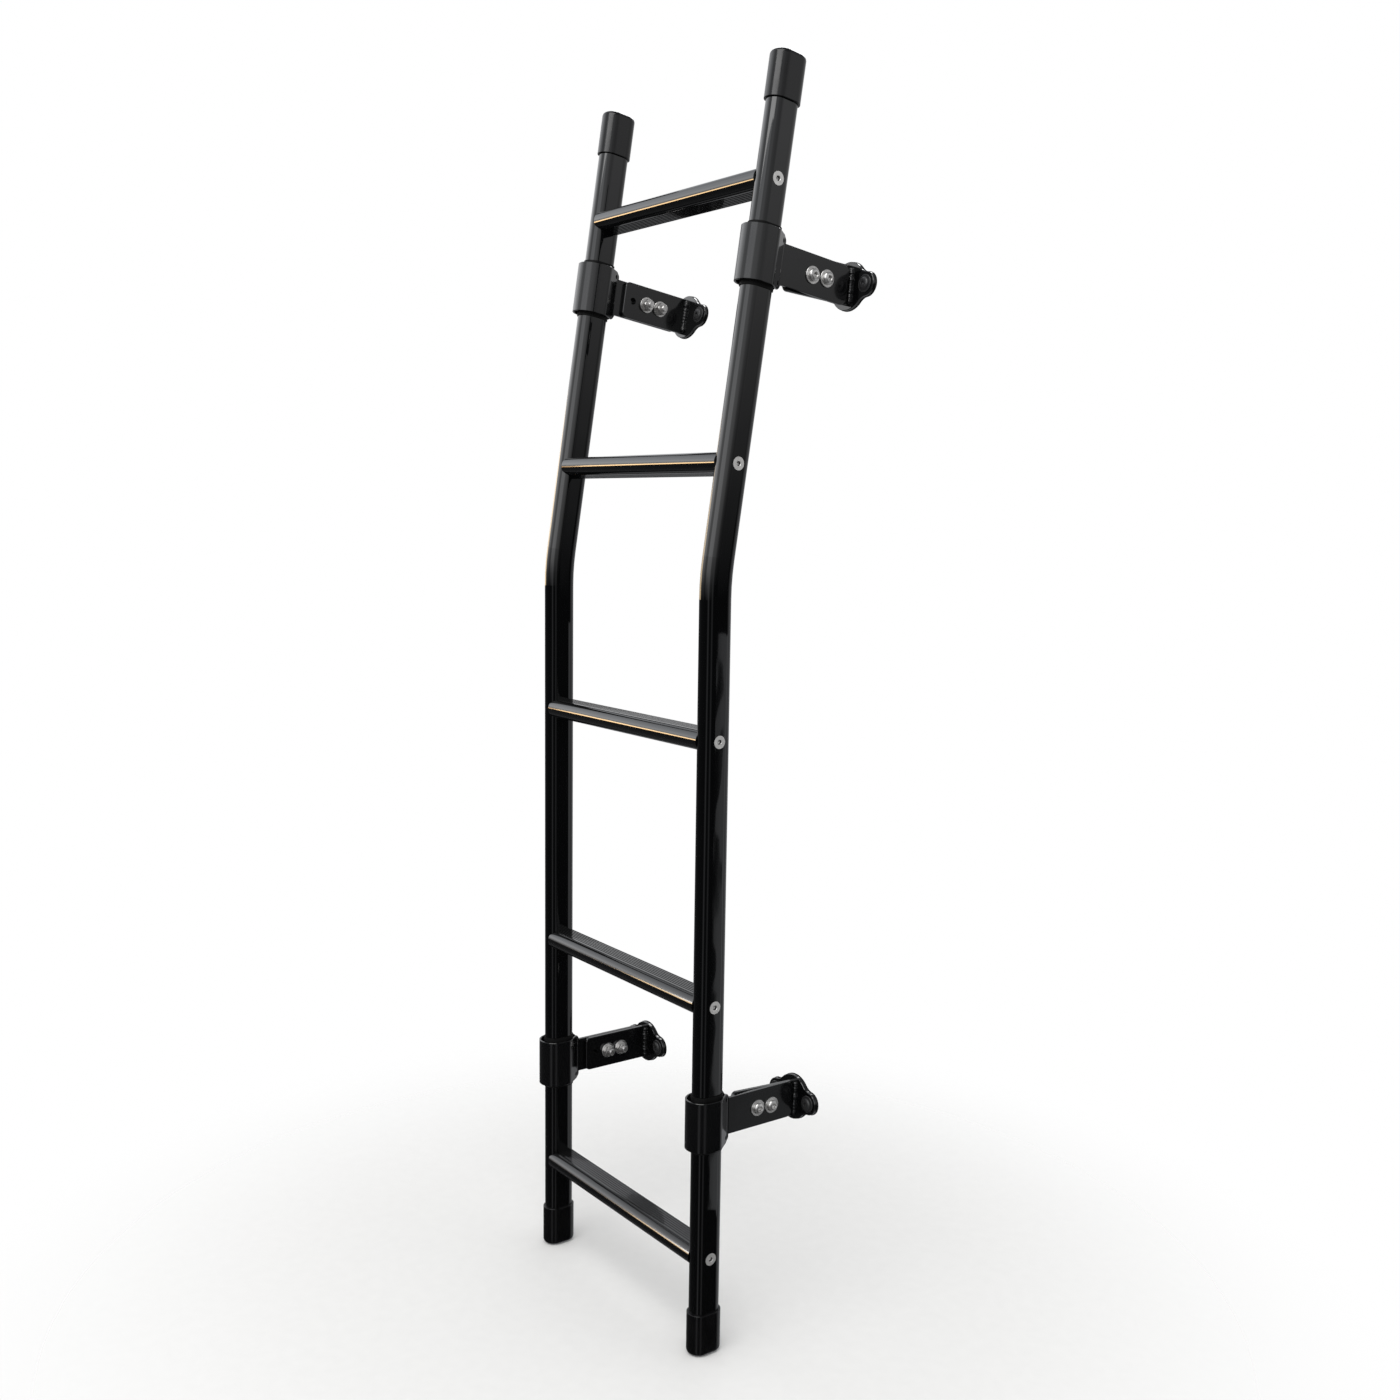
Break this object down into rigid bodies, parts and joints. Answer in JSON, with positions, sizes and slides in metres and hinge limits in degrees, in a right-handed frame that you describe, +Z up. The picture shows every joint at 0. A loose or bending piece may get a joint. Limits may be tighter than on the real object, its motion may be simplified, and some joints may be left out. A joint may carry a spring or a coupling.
{
  "type": "van rear door ladder",
  "caption": "Bolt-on ladder for a vehicle's rear door: bent oval side rails, grooved rungs, capped ends and clamped standoff brackets with lobed feet.",
  "frame": {"origin": "centre of the flat back face of the lower right foot pad, on the door's surface", "axes": "+X to the right seen from behind the vehicle, +Y into the door square to the straight lower part of the rails and to the lower left foot, +Z up along that part of the rails"},
  "size_m": [0.4, 0.2222, 1.4689],
  "materials": {
    "rail_coat": "gloss black coating on tube",
    "rung_coat": "gloss black coating on grooved extrusion",
    "bracket_coat": "satin black coating on bent and cut plate",
    "stainless": "plain stainless steel",
    "cap_plastic": "black moulded plastic",
    "rubber": "matt black rubber"
  },
  "bodies": {
    "root": {"left_rail": "rail_coat", "left_rung_bolts": "stainless", "cap_top_left": "cap_plastic", "cap_bottom_left": "cap_plastic", "right_rail": "rail_coat", "right_rung_bolts": "stainless", "cap_top_right": "cap_plastic", "cap_bottom_right": "cap_plastic", "rung_1": "rung_coat", "rung_2": "rung_coat", "rung_3": "rung_coat", "rung_4": "rung_coat", "rung_5": "rung_coat", "upper_left_clamp": "bracket_coat", "upper_left_liner": "rubber", "upper_left_arm": "bracket_coat", "upper_left_foot": "bracket_coat", "upper_left_pad": "rubber", "upper_left_arm_bolts": "stainless", "upper_left_arm_washers": "stainless", "upper_left_arm_nuts": "stainless", "upper_right_clamp": "bracket_coat", "upper_right_liner": "rubber", "upper_right_arm": "bracket_coat", "upper_right_foot": "bracket_coat", "upper_right_pad": "rubber", "upper_right_arm_bolts": "stainless", "upper_right_arm_washers": "stainless", "upper_right_arm_nuts": "stainless", "lower_left_clamp": "bracket_coat", "lower_left_liner": "rubber", "lower_left_arm": "bracket_coat", "lower_left_foot": "bracket_coat", "lower_left_pad": "rubber", "lower_left_arm_bolts": "stainless", "lower_left_arm_washers": "stainless", "lower_left_arm_nuts": "stainless", "lower_right_clamp": "bracket_coat", "lower_right_liner": "rubber", "lower_right_arm": "bracket_coat", "lower_right_foot": "bracket_coat", "lower_right_pad": "rubber", "lower_right_arm_bolts": "stainless", "lower_right_arm_washers": "stainless", "lower_right_arm_nuts": "stainless"}
  },
  "joints": []
}
